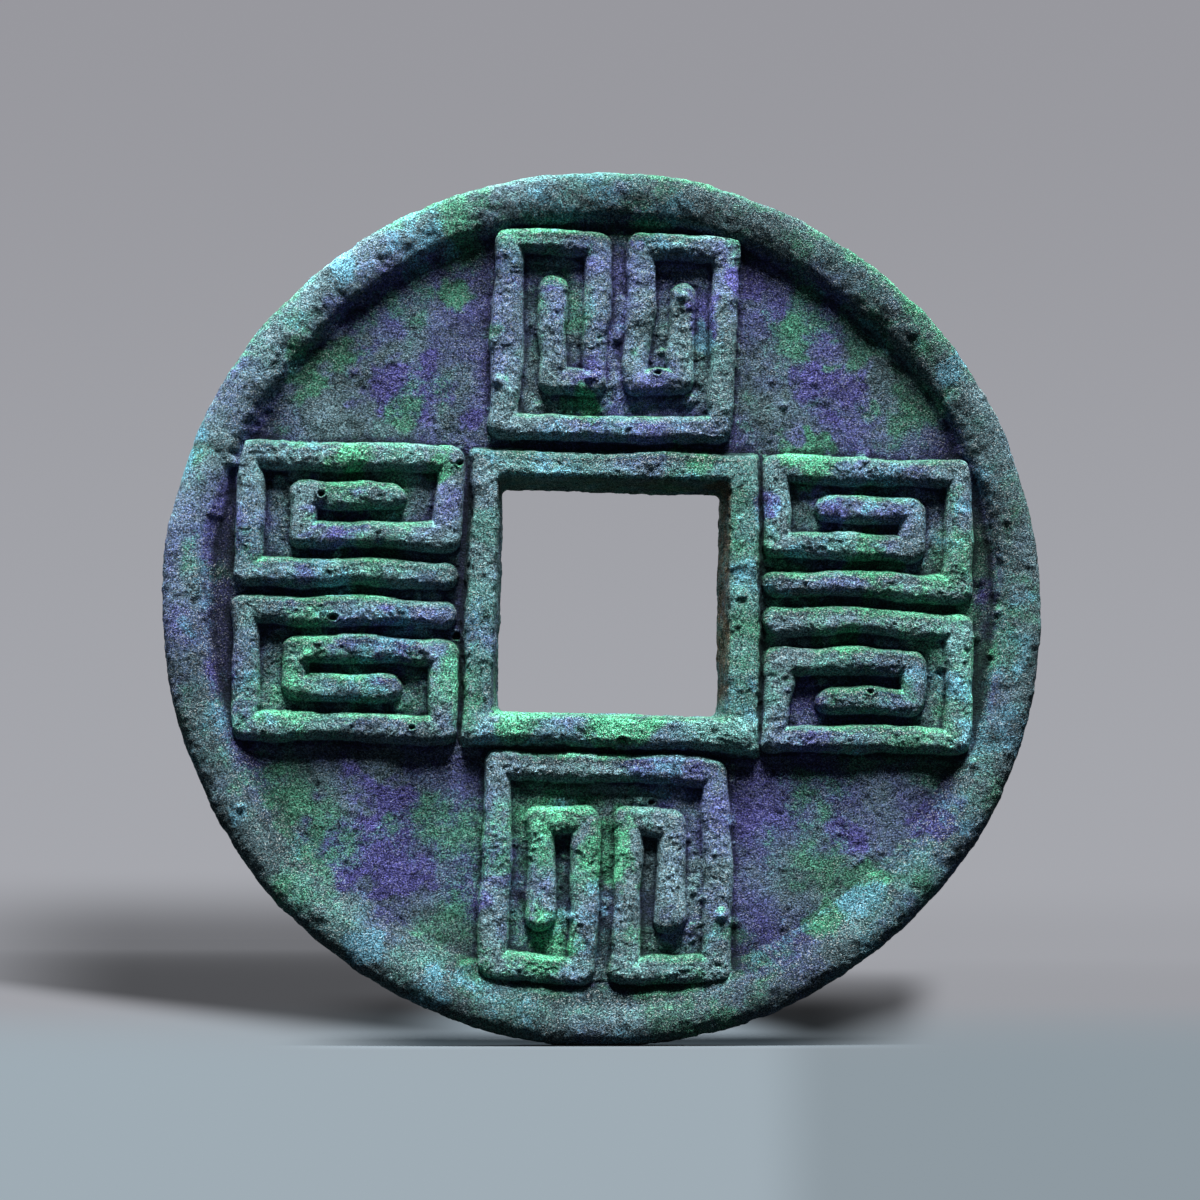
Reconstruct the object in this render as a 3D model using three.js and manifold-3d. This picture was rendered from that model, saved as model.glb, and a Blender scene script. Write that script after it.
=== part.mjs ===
// A large cast bronze coin with a square hole, standing on its edge.
// Millimetres, +Z up. The front of the coin faces -Y, and the origin is its lowest point.
// The coin is one casting. Each mesh is one region of it, and regions meet face to face.

import * as THREE from "three";
import { mergeVertices } from "three/addons/utils/BufferGeometryUtils.js";
import Module from "manifold-3d";

const wasm = await Module();
wasm.setup();

// Sizes of the blank and its outer rim
const coinDiameter = 41.5;
const coinThickness = 3.2; // over the crests of the rims, front and back
const fieldThickness = 1.6; // the sunk plate between the rims
const outerRimWidth = 2.1; // from the edge of the coin to the foot of the rim
const outerRimSlope = 0.35; // how far the rim's inner flank leans outwards
const outerEdgeRound = 0.45; // rounding of the rim's two outer edges
const standingFlat = 4.0; // width of the worn flat that the coin stands on

// Sizes of the square hole and its rim
const holeWidth = 10.3;
const holeHeight = 10.6;
const holeCornerRadius = 0.5; // corners of the hole itself
const holeShiftX = 0.3; // the hole was cast a little off the middle
const holeShiftZ = 0.15;
const holeRimWidth = 1.8; // from the wall of the hole to the foot of its rim
const holeRimRound = 0.5; // rounding of the crest of that rim
const holeRimCornerRadius = 0.9; // outer corners of that rim

// Sizes of the four raised panels on the front
const topPanelWidth = 11.6; // of the panels above and below the hole
const sidePanelInset = 0.1; // how far the side panels' ends stop short of the rim of the hole
const panelToHoleRim = 0.3; // groove between a panel and the rim of the hole
const panelToOuterRim = 0.85; // field left between a panel's edge and the outer rim
const cornerToOuterRim = 0.3; // least gap where a panel's corner comes near the outer rim
const padThickness = 0.18; // floor of the grooves above the field
const crestBelowRim = 0.08; // how much lower the ridges stand than the rims
const ridgeWidth = 1.25;
const ridgeRound = 0.42; // rounding of the crest of a ridge

// Counts that set how finely round shapes are cut
const coinFacets = 72;
const roundSteps = 3; // steps round a small rounding

// Places worked out from the sizes
const coinRadius = coinDiameter / 2;
const halfThickness = coinThickness / 2;
const halfField = fieldThickness / 2;
const facetAngle = (2 * Math.PI) / coinFacets;
const centreHeight = Math.sqrt(coinRadius ** 2 - (standingFlat / 2) ** 2);
const rimFootRadius = coinRadius - outerRimWidth;
const holeRimHalfWidth = holeWidth / 2 + holeRimWidth;
const holeRimHalfHeight = holeHeight / 2 + holeRimWidth;
const ridgeHeight = halfThickness - crestBelowRim - halfField;

// The squared spiral of a panel, as steps on a grid. The first number counts lines away from the
// panel's foot at the hole, and the second counts lines away from its middle line.
const lastLineOut = 5;
const sideSpiral = {
  lastLineAcross: 3.5,
  path: [
    [1.4, 2.5],
    [3.7, 2.5],
    [3.7, 1.5],
    [0, 1.5],
    [0, 3.5],
    [5, 3.5],
    [5, 0.5],
    [0, 0.5],
  ],
};
const topSpiral = {
  lastLineAcross: 2.5,
  path: [
    [0, 0],
    [0, 2.5],
    [5, 2.5],
    [5, 0.5],
    [1.3, 0.5],
    [1.3, 1.5],
    [3.7, 1.5],
  ],
};

function material(color, roughness) {
  return new THREE.MeshStandardMaterial({ color, roughness, metalness: 0.2 });
}

// A round outline: a polygon with one side level at the bottom.
function coinOutline(radius) {
  const points = [];
  for (let i = 0; i < coinFacets; i += 1) {
    const angle = (i + 0.5) * facetAngle;
    points.push(new THREE.Vector2(radius * Math.sin(angle), radius * Math.cos(angle)));
  }
  return points.reverse();
}

// A rectangle with round corners, drawn round the middle of the hole.
function holeOutline(halfWidth, halfHeight, radius) {
  const points = [];
  const corners = [
    [1, 1, 0],
    [-1, 1, 1],
    [-1, -1, 2],
    [1, -1, 3],
  ];
  for (const [sideX, sideZ, quarter] of corners) {
    for (let i = 0; i <= roundSteps; i += 1) {
      const angle = (quarter + i / roundSteps) * (Math.PI / 2);
      const x = holeShiftX + sideX * (halfWidth - radius) + radius * Math.cos(angle);
      const z = holeShiftZ + sideZ * (halfHeight - radius) + radius * Math.sin(angle);
      points.push(new THREE.Vector2(x, z));
    }
  }
  return points;
}

// Extrudes an outline in X and Z through the coin's thickness, from one depth to another.
function slab(outline, holes, back, front, round) {
  const shape = new THREE.Shape(outline);
  shape.holes = holes.map((points) => new THREE.Path(points));
  const geometry = new THREE.ExtrudeGeometry(shape, {
    depth: front - back - 2 * round,
    bevelEnabled: round > 0,
    bevelThickness: round,
    bevelSize: round,
    bevelOffset: -round,
    bevelSegments: roundSteps,
  });
  geometry.translate(0, 0, back + round);
  geometry.rotateX(Math.PI / 2);
  return geometry;
}

function toSolid(geometry) {
  const bare = geometry.clone();
  bare.deleteAttribute("normal");
  bare.deleteAttribute("uv");
  const merged = mergeVertices(bare);
  return new wasm.Manifold(
    new wasm.Mesh({
      numProp: 3,
      vertProperties: new Float32Array(merged.attributes.position.array),
      triVerts: new Uint32Array(merged.index.array),
    }),
  );
}

function toGeometry(solid) {
  const mesh = solid.getMesh();
  const geometry = new THREE.BufferGeometry();
  geometry.setAttribute("position", new THREE.BufferAttribute(mesh.vertProperties, 3));
  geometry.setIndex(new THREE.BufferAttribute(mesh.triVerts, 1));
  geometry.computeVertexNormals();
  return geometry;
}

// The plate between the rims, with the square opening that the rim of the hole fills.
function makeField() {
  const opening = holeOutline(holeRimHalfWidth, holeRimHalfHeight, holeRimCornerRadius);
  return slab(coinOutline(rimFootRadius), [opening], -halfField, halfField, 0);
}

// The ring round the coin. Its section leans in at the foot and is round at the outer edges, and
// its lowest stretch is worn flat.
function makeOuterRim() {
  const round = Math.min(outerEdgeRound, halfThickness);
  const half = [
    [rimFootRadius, halfField],
    [rimFootRadius + outerRimSlope, halfThickness],
  ];
  for (let i = 0; i <= roundSteps; i += 1) {
    const angle = (i / roundSteps) * (Math.PI / 2);
    const radius = coinRadius - round + round * Math.sin(angle);
    half.push([radius, halfThickness - round + round * Math.cos(angle)]);
  }
  const mirrored = half.map(([radius, depth]) => [radius, -depth]).reverse();
  const section = [...half, ...mirrored, half[0]].reverse();
  const points = section.map(([radius, depth]) => new THREE.Vector2(radius, depth));
  const ring = new THREE.LatheGeometry(points, coinFacets, facetAngle / 2);
  const kept = new THREE.BoxGeometry(2 * coinDiameter, coinDiameter, 2 * coinDiameter);
  kept.translate(0, 0, coinDiameter - centreHeight);
  return toGeometry(toSolid(ring).intersect(toSolid(kept)));
}

// The square frame that lines the hole and stands as high as the outer rim on both faces.
function makeHoleRim() {
  const outline = holeOutline(holeRimHalfWidth, holeRimHalfHeight, holeRimCornerRadius);
  const hole = holeOutline(holeWidth / 2, holeHeight / 2, holeCornerRadius).reverse();
  const widest = Math.min(holeRimWidth / 2, halfThickness - halfField, holeRimCornerRadius);
  const round = Math.min(holeRimRound, widest * 0.9);
  return slab(outline, [hole], -halfThickness, halfThickness, round);
}

// One straight bar of a ridge between two points, square at its ends.
function makeBar(start, end, ridgeBack, ridgeFront) {
  const half = ridgeWidth / 2;
  const left = Math.min(start.x, end.x) - half;
  const right = Math.max(start.x, end.x) + half;
  const low = Math.min(start.y, end.y) - half;
  const high = Math.max(start.y, end.y) + half;
  const outline = [
    new THREE.Vector2(left, low),
    new THREE.Vector2(right, low),
    new THREE.Vector2(right, high),
    new THREE.Vector2(left, high),
  ];
  const round = Math.min(ridgeRound, half * 0.9);
  return slab(outline, [], ridgeBack, ridgeFront, round);
}

// A raised panel. A floor pad carries two mirrored squared spirals, and all of it is trimmed to
// the round field. place turns a distance out from the hole and one across into a point.
function makePanel(spiral, place, foot, halfAcross) {
  const outEdge = rimFootRadius - panelToOuterRim;
  const half = ridgeWidth / 2;
  const outStep = (outEdge - foot - ridgeWidth) / lastLineOut;
  const acrossStep = (halfAcross - half) / spiral.lastLineAcross;
  const corners = [place(foot, -halfAcross), place(outEdge, halfAcross)];
  const left = Math.min(corners[0].x, corners[1].x);
  const right = Math.max(corners[0].x, corners[1].x);
  const low = Math.min(corners[0].y, corners[1].y);
  const high = Math.max(corners[0].y, corners[1].y);
  const padOutline = [
    new THREE.Vector2(left, low),
    new THREE.Vector2(right, low),
    new THREE.Vector2(right, high),
    new THREE.Vector2(left, high),
  ];
  const behindField = 0;
  let solid = toSolid(slab(padOutline, [], behindField, halfField + padThickness, 0));
  for (const side of [-1, 1]) {
    const points = spiral.path.map(([out, across]) =>
      place(foot + half + out * outStep, side * across * acrossStep),
    );
    for (let i = 1; i < points.length; i += 1) {
      const bar = makeBar(points[i - 1], points[i], behindField, halfField + ridgeHeight);
      solid = solid.add(toSolid(bar));
    }
  }
  const trimOutline = coinOutline(rimFootRadius - cornerToOuterRim);
  return toGeometry(solid.intersect(toSolid(slab(trimOutline, [], halfField, coinThickness, 0))));
}

const group = new THREE.Group();

function addRegion(name, geometry, color, roughness) {
  const mesh = new THREE.Mesh(geometry, material(color, roughness));
  mesh.name = name;
  mesh.position.z = centreHeight;
  group.add(mesh);
}

const topFoot = holeRimHalfHeight + panelToHoleRim;
const sideFoot = holeRimHalfWidth + panelToHoleRim;
const halfTop = topPanelWidth / 2;
const halfSide = holeRimHalfHeight - sidePanelInset;
const up = (out, across) => new THREE.Vector2(holeShiftX + across, out);
const down = (out, across) => new THREE.Vector2(holeShiftX + across, -out);
const toRight = (out, across) => new THREE.Vector2(out, holeShiftZ + across);
const toLeft = (out, across) => new THREE.Vector2(-out, holeShiftZ + across);

addRegion("field", makeField(), "#47566b", 0.9);
addRegion("outer_rim", makeOuterRim(), "#5c7c7f", 0.85);
addRegion("hole_rim", makeHoleRim(), "#5b8d87", 0.85);
addRegion("top_panel", makePanel(topSpiral, up, topFoot + holeShiftZ, halfTop), "#4a686c", 0.85);
addRegion("bottom_panel", makePanel(topSpiral, down, topFoot - holeShiftZ, halfTop), "#4a6a66", 0.85);
addRegion("right_panel", makePanel(sideSpiral, toRight, sideFoot + holeShiftX, halfSide), "#466460", 0.85);
addRegion("left_panel", makePanel(sideSpiral, toLeft, sideFoot - holeShiftX, halfSide), "#48646a", 0.85);

export default group;
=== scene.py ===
import math

import bpy
import numpy as np
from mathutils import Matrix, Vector


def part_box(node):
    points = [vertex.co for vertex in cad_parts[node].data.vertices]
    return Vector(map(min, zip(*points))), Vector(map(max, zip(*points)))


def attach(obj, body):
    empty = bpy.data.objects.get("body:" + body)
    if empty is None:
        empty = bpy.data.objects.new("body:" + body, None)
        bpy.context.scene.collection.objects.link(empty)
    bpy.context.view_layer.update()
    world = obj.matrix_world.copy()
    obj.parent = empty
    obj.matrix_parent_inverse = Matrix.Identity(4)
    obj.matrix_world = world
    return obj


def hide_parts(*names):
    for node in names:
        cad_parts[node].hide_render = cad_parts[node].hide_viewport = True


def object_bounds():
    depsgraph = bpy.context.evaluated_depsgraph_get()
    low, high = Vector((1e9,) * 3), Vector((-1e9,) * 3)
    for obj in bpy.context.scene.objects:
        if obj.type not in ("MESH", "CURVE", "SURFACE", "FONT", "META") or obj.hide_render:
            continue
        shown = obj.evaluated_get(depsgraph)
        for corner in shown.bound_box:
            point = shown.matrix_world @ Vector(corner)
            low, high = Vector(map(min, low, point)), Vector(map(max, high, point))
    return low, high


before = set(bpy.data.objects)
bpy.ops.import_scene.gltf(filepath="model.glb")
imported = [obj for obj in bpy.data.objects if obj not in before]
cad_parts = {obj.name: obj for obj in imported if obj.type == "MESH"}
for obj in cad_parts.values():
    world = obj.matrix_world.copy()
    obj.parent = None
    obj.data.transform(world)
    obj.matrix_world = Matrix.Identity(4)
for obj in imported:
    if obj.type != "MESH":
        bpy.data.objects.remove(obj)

bl_info = {
    "name": "Cast bronze coin",
    "version": (1, 0, 0),
    "blender": (4, 5, 0),
    "location": "View3D > Sidebar > Coin",
    "description": "Builds a large cast coin with a square hole, in green and violet patina",
    "category": "Mesh",
}

# Shapes are worked out in millimetres about the middle of the coin, with x to the right, z up and
# depth along y. They are turned into metres in the frame's own place when a mesh is made.
MM = 0.001
CAD_LOW, CAD_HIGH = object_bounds()
FIELD_LOW, FIELD_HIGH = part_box("field")
HOLE_RIM_LOW, HOLE_RIM_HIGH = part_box("hole_rim")
CENTRE_HEIGHT = (FIELD_HIGH.z + FIELD_LOW.z) / 2 / MM
COIN_RADIUS = (CAD_HIGH.x - CAD_LOW.x) / 2 / MM
CREST = (CAD_HIGH.y - CAD_LOW.y) / 2 / MM
FIELD_LEVEL = FIELD_HIGH.y / MM
PROUD = 0.06
CREST_LINE = CREST - PROUD
RELIEF = CREST_LINE - FIELD_LEVEL
RIM_FOOT = (FIELD_HIGH.x - FIELD_LOW.x) / 2 / MM
HOLE_U = (HOLE_RIM_HIGH.x + HOLE_RIM_LOW.x) / 2 / MM
HOLE_V = (HOLE_RIM_HIGH.z + HOLE_RIM_LOW.z) / 2 / MM - CENTRE_HEIGHT
HOLE_RIM_HALF_WIDTH = (HOLE_RIM_HIGH.x - HOLE_RIM_LOW.x) / 2 / MM
HOLE_RIM_HALF_HEIGHT = (HOLE_RIM_HIGH.z - HOLE_RIM_LOW.z) / 2 / MM

FRONT = -1
BACK = 1

# The field that is left between a side panel and the foot of the outer rim, in mm.
SIDE_PANEL_REACH = 1.3
# From the edge of a panel to the centre line of its outermost ridge, in mm.
RIDGE_INSET = 0.62
# The width of the skirt that each panel sinks into the field, and the spacing of its grid, in mm.
SKIRT = 0.45
PANEL_SPACING = 0.043
# The radius in mm beyond which a panel's corners are drawn in toward the outer rim.
DRAWN_FROM = 17.0
# How far under the front of the field the back of a panel lies, in mm.
PANEL_ROOT = 0.4
# The radius of the round section's flat top on the outer rim beyond its foot, in mm.
RIM_TOP_END = 1.2

# A face list for pieces that have only four-sided faces.
NO_TRIANGLES = np.zeros((0, 3), int)

# The camera, its aim and its lens, and the lamp. Places are in metres in the frame.
CAMERA_PLACE = (-0.0068, -0.135, 0.005)
CAMERA_AIM = (-0.00017, 0, CENTRE_HEIGHT * MM + 0.00018)
CAMERA_LENS = 86.3
LAMP_PLACE = (0.06, -0.52, 1.72)
LAMP_SIZE = 0.55
FLOOR_RADIUS = 6.0

# The squared spirals of the panels, as steps on a grid. The first number counts lines out from the
# hole, and the second counts lines away from the panel's middle line.
LAST_LINE_OUT = 5
SIDE_PATH = ((1.4, 2.5), (3.7, 2.5), (3.7, 1.5), (0, 1.5), (0, 3.5), (5, 3.5), (5, 0.5), (0, 0.5))
TOP_PATH = ((0, 0), (0, 2.5), (5, 2.5), (5, 0.5), (1.3, 0.5), (1.3, 1.5), (3.7, 1.5))
SIDE_SPIRAL = (3.5, SIDE_PATH)
TOP_SPIRAL = (2.5, TOP_PATH)
PANELS = {
    "top_panel": (TOP_SPIRAL, "z", 1),
    "bottom_panel": (TOP_SPIRAL, "z", -1),
    "right_panel": (SIDE_SPIRAL, "x", 1),
    "left_panel": (SIDE_SPIRAL, "x", -1),
}

# Places where one colour of the crust is strong on the front: x, z and reach in mm, and strength.
ACCENTS = {
    "green": (
        (-1.2, 9.4, 1.3, 1.0), (9.6, 7.0, 1.8, 1.0), (4.4, 6.6, 1.4, 0.9), (0.4, -5.9, 2.4, 0.9),
        (-4.0, -5.9, 1.8, 0.8), (-6.9, 14.6, 1.0, 0.9), (8.9, 12.9, 1.5, 0.9), (-11.9, 6.6, 1.5, 0.9),
        (-7.6, 6.4, 1.2, 0.8), (12.5, -13.0, 1.8, 0.8), (-15.6, -7.8, 1.2, 0.8), (13.5, 8.8, 1.5, 0.7),
        (-9.5, 9.0, 1.1, 0.7), (6.0, -1.0, 1.1, 0.7), (10.6, -14.6, 1.6, 0.8),
        (0.2, -12.0, 2.6, 0.9), (-2.6, -16.0, 2.2, 0.9), (12.6, 1.8, 2.0, 0.8), (11.6, -1.6, 1.8, 0.8),
        (-13.6, 11.4, 2.4, 0.8), (12.4, 12.6, 2.4, 0.7), (-5.4, -12.4, 1.6, 0.7),
    ),
    "violet": (
        (1.8, 18.2, 1.4, 1.0), (6.6, 15.6, 1.3, 1.0), (-9.5, 10.4, 2.6, 0.9), (10.8, 10.1, 1.8, 0.9),
        (-10.5, -11.0, 3.4, 1.0), (6.6, -10.0, 1.1, 1.0), (11.3, -11.2, 1.8, 0.8), (15.6, -10.2, 1.5, 1.0),
        (18.0, 0.4, 1.0, 1.0), (-17.9, -3.6, 1.0, 0.9), (-6.2, 8.6, 1.0, 0.9), (-6.2, -14.0, 1.4, 0.9),
        (7.6, 4.6, 0.8, 1.0), (-2.8, 15.2, 0.8, 0.9), (-12.6, 14.0, 1.6, 0.7), (-12.4, 3.4, 2.4, 0.9),
        (-10.2, -2.4, 2.2, 0.9), (-14.6, 0.2, 1.8, 0.8), (10.6, 4.6, 1.6, 0.8), (-0.6, 11.0, 1.8, 0.8),
        (4.6, 13.8, 1.6, 0.9), (3.6, -15.4, 1.4, 0.7), (9.6, -4.6, 1.2, 0.8),
    ),
    "sky": (
        (4.7, 12.6, 1.1, 1.0), (17.0, 4.5, 0.9, 0.9), (-1.0, 13.8, 0.9, 0.7), (-6.7, 2.5, 0.8, 0.8),
        (-18.9, 7.7, 0.9, 0.9), (-12.2, 16.0, 1.5, 0.9), (-11.2, -16.0, 1.5, 0.9), (-7.9, -17.9, 1.6, 0.8),
        (8.8, 2.4, 0.9, 0.8), (6.7, -3.6, 0.8, 0.8), (-19.4, -1.5, 1.1, 0.7), (16.3, 11.0, 1.2, 0.8),
        (-13.4, -0.8, 0.8, 0.7), (-17.0, -9.9, 1.0, 0.8),
    ),
    "teal": (
        (6.6, 4.0, 2.4, 1.0), (6.6, 0.0, 2.4, 1.0), (6.5, -4.0, 2.4, 1.0), (-3.5, -5.9, 2.0, 1.0),
        (0.5, -5.9, 2.2, 1.0), (4.5, -5.9, 2.0, 1.0), (-5.8, 3.5, 1.6, 0.8), (-5.9, -2.5, 2.2, 0.9),
        (0.3, 8.6, 1.8, 1.0), (-4.2, 16.6, 1.8, 0.8), (12.0, 2.6, 2.4, 0.9), (11.0, 7.0, 2.4, 0.9),
        (-12.0, 1.5, 2.6, 0.8), (-10.0, 6.6, 2.6, 0.8), (-14.2, -13.5, 1.8, 0.9), (-8.0, -17.0, 2.2, 0.9),
        (14.6, -12.9, 2.4, 1.0), (2.0, -9.0, 2.2, 0.8), (-2.5, -12.0, 2.4, 0.7), (10.5, -3.0, 1.8, 0.8),
    ),
    "pale": (
        (-19.6, -6.0, 2.6, 0.7), (-19.8, -1.5, 2.6, 0.8), (-19.4, 3.5, 2.8, 0.9), (-17.8, 8.5, 2.8, 1.0),
        (-15.0, 13.0, 2.8, 1.0), (-11.0, 16.6, 2.6, 0.9), (16.4, -11.0, 2.6, 0.8), (11.5, -16.2, 2.6, 0.8),
        (-4.0, -19.3, 2.6, 0.7), (-12.8, -15.0, 2.4, 0.7), (9.5, 17.4, 1.8, 0.7), (4.4, 9.6, 1.4, 0.8),
        (15.0, -2.0, 2.0, 0.7), (3.6, -13.6, 1.6, 0.7), (-10.4, -1.0, 1.8, 0.6), (13.5, 5.0, 1.4, 0.6),
    ),
}

# Small open gas holes of the casting on the front: x, z and reach in mm.
GAS_HOLES = (
    (-6.85, 6.5, 0.2), (-6.9, -1.7, 0.24), (0.9, -6.6, 0.26), (2.5, 10.9, 0.24), (-12.7, -0.9, 0.24),
    (-9.0, -6.0, 0.18), (12.4, -4.2, 0.2), (2.2, -9.4, 0.18), (-13.3, 5.0, 0.18),
)


class CoinSizes(bpy.types.PropertyGroup):
    """Sizes of the casting that can be changed."""

    hole_rim_width: bpy.props.FloatProperty(
        name="Hole rim width", description="From the wall of the hole to the foot of its rim, in mm",
        default=1.8, min=0.8, max=3.0)
    rim_slope: bpy.props.FloatProperty(
        name="Rim slope", description="Width of the leaning flank of the outer rim, in mm",
        default=0.35, min=0.1, max=0.6)
    low_flank: bpy.props.FloatProperty(
        name="Low flank", description="How much wider that flank is at the foot of the coin, in mm",
        default=0.55, min=0.0, max=0.8)
    high_crest: bpy.props.FloatProperty(
        name="High crest", description="How much wider the crest of that rim is at the top, in mm",
        default=0.3, min=0.0, max=0.6)
    edge_round: bpy.props.FloatProperty(
        name="Edge round", description="Rounding of the coin's outer edges, in mm",
        default=0.5, min=0.1, max=0.5)
    ridge_half_width: bpy.props.FloatProperty(
        name="Ridge half width", description="Half the width of an ornament ridge at its foot, in mm",
        default=0.7, min=0.3, max=1.5)
    groove_floor: bpy.props.FloatProperty(
        name="Groove floor", description="Height of the groove floors above the field, in mm",
        default=0.08, min=0.0, max=0.5)
    askew: bpy.props.FloatProperty(
        name="Askew", description="How far the hole and the panels are turned clockwise",
        default=math.radians(1.1), min=-0.1, max=0.1, subtype="ANGLE")
    hole_draft: bpy.props.FloatProperty(
        name="Hole draft", description="How much wider the hole is in front than behind, in mm to a side",
        default=0.3, min=0.0, max=0.6)
    grain: bpy.props.FloatProperty(
        name="Grain", description="Height of the sandy grain, in mm",
        default=0.028, min=0.0, max=0.2)
    plates: bpy.props.FloatProperty(
        name="Plates", description="Height of the plates of crust, in mm",
        default=0.075, min=0.0, max=0.2)
    waver: bpy.props.FloatProperty(
        name="Waver", description="How far the cast lines wander from true, in mm",
        default=0.17, min=0.0, max=0.6)


class CoinColours(bpy.types.PropertyGroup):
    """Colours of the corrosion crust."""

    slate: bpy.props.FloatVectorProperty(
        name="Slate", description="The even grey green of the crust", subtype="COLOR",
        default=(0.084, 0.146, 0.168))
    # Teal on ledges that face up is partly painted highlight from above.
    teal: bpy.props.FloatVectorProperty(
        name="Teal", description="The blue green on ledges that face up", subtype="COLOR",
        default=(0.090, 0.250, 0.225))
    # This near black darkens the grooves both as dirt and as painted shade.
    dark: bpy.props.FloatVectorProperty(
        name="Dark", description="The near black in the grooves", subtype="COLOR",
        default=(0.006, 0.012, 0.014))
    green: bpy.props.FloatVectorProperty(
        name="Green", description="Dull green patches", subtype="COLOR",
        default=(0.055, 0.200, 0.125))
    malachite: bpy.props.FloatVectorProperty(
        name="Malachite", description="The brightest green, in the middle of the green patches",
        subtype="COLOR", default=(0.080, 0.420, 0.220))
    violet: bpy.props.FloatVectorProperty(
        name="Violet", description="Violet blue patches of the field", subtype="COLOR",
        default=(0.075, 0.065, 0.270))
    sky: bpy.props.FloatVectorProperty(
        name="Sky", description="Pale turquoise on high spots", subtype="COLOR",
        default=(0.120, 0.330, 0.450))
    # These specks are partly painted glints on the grains.
    speck: bpy.props.FloatVectorProperty(
        name="Speck", description="Pale crystal specks", subtype="COLOR",
        default=(0.680, 0.710, 0.690))
    rust: bpy.props.FloatVectorProperty(
        name="Rust", description="Brown earth on the wall of the hole", subtype="COLOR",
        default=(0.120, 0.085, 0.050))


class StageSettings(bpy.types.PropertyGroup):
    """Colours of the stage and the power of its lamp."""

    floor_colour: bpy.props.FloatVectorProperty(
        name="Floor", description="Colour of the floor", subtype="COLOR", default=(0.130, 0.155, 0.175))
    front_colour: bpy.props.FloatVectorProperty(
        name="Front", description="Colour of the floor in front and at the coin's sides, as it is seen",
        subtype="COLOR", default=(0.347, 0.413, 0.462))
    horizon_colour: bpy.props.FloatVectorProperty(
        name="Horizon", description="Colour of the backdrop low down", subtype="COLOR",
        default=(0.381, 0.388, 0.420))
    sky_colour: bpy.props.FloatVectorProperty(
        name="Backdrop", description="Colour of the backdrop high up", subtype="COLOR",
        default=(0.314, 0.314, 0.342))
    key_power: bpy.props.FloatProperty(
        name="Key power", description="Power of the lamp above the coin", unit="POWER",
        default=108.0, min=0.0)


def scatter(ix, iy, iz, seed):
    """A repeatable random number from 0 to 1 for each whole-number point: a mixed hash of its places."""
    mixed = (ix * 374761393 + iy * 668265263 + iz * 1274126177 + seed * 144665) & 0xFFFFFFFF
    mixed = ((mixed ^ (mixed >> 13)) * 1274126177) & 0xFFFFFFFF
    return ((mixed ^ (mixed >> 16)) & 0xFFFF) / 65535.0


def noise(x, y, z, size, seed):
    """Smooth noise from -1 to 1: random values at the corners of cubes of that size, eased between."""
    places = [np.asarray(v, float) / size for v in (0.8 * x - 0.6 * z, y + 0.0 * x, 0.6 * x + 0.8 * z)]
    cells = [np.floor(v).astype(np.int64) for v in places]
    eased = [(v - c) ** 2 * (3 - 2 * (v - c)) for v, c in zip(places, cells)]
    total = 0.0
    for corner in range(8):
        sides = (corner & 1, corner >> 1 & 1, corner >> 2)
        share = 1.0
        for side, ease in zip(sides, eased):
            share = share * (ease if side else 1 - ease)
        total = total + share * scatter(*(c + s for c, s in zip(cells, sides)), seed)
    return total * 2 - 1


def layered(x, y, z, size, seed, layers=3):
    """A sum of noises, each of about half the size and 0.55 of the height of the one before."""
    total, height = 0.0, 1.0
    for layer in range(layers):
        total = total + height * noise(x, y, z, size / 2.1 ** layer, seed + layer)
        height *= 0.55
        x, z = 0.8 * x - 0.6 * z, 0.6 * x + 0.8 * z
    return total


def step(low, high, value):
    """Zero below low, one above high, with an eased rise between."""
    share = np.clip((value - low) / (high - low), 0, 1)
    return share * share * (3 - 2 * share)


def sizes_now():
    """The sizes set in the sidebar."""
    return bpy.context.scene.coin_sizes


def on_ornament(x, z):
    """The place u, v on the ornament, which was cast a little askew, of a place x, z on the coin."""
    turn = sizes_now().askew
    return x * math.cos(turn) - z * math.sin(turn), x * math.sin(turn) + z * math.cos(turn)


def on_coin(u, v):
    """The place x, z on the coin of a place u, v on the ornament."""
    turn = sizes_now().askew
    return u * math.cos(turn) + v * math.sin(turn), v * math.cos(turn) - u * math.sin(turn)


def rim_crest(angle):
    """Radius of the inner end of the outer rim's crest, which comes farther in along the top."""
    return RIM_FOOT + sizes_now().rim_slope - sizes_now().high_crest * step(0.1, 0.9, np.sin(angle))


def rim_foot(angle):
    """Radius of the outer rim's foot, which follows the crest, wanders with the angle round the coin
    and runs farther in along the lower half."""
    sizes = sizes_now()
    wander = 0.6 * sizes.waver * layered(18 * np.cos(angle), 0.3, 18 * np.sin(angle), 6.0, 83, 3)
    return rim_crest(angle) - sizes.rim_slope + wander - sizes.low_flank * step(-0.2, 0.8, -np.sin(angle))


def hole_rim_reach(u, v):
    """Distance from the wall of the hole to the foot of its rim: a little more right and low, a
    little less left and high, and wandering."""
    lean = 0.10 * np.tanh(u / 3) - 0.10 * np.tanh(v / 3)
    return sizes_now().hole_rim_width + lean + 0.6 * sizes_now().waver * noise(u, 0.7, v, 2.4, 89)


def hole_distance(u, v):
    """How far a place is outside the wall of the hole, in mm, across or up, whichever is more."""
    width = sizes_now().hole_rim_width
    across = np.abs(u - HOLE_U) - (HOLE_RIM_HALF_WIDTH - width)
    up = np.abs(v - HOLE_V) - (HOLE_RIM_HALF_HEIGHT - width)
    return np.maximum(across, up)


def panel_box(name):
    """A panel's lowest and highest u and v about the middle of the coin, in mm."""
    low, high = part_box(name)
    u0, u1 = low.x / MM, high.x / MM
    if PANELS[name][1] == "x":
        u0, u1 = max(u0, SIDE_PANEL_REACH - RIM_FOOT), min(u1, RIM_FOOT - SIDE_PANEL_REACH)
    return u0, u1, low.z / MM - CENTRE_HEIGHT, high.z / MM - CENTRE_HEIGHT


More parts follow.
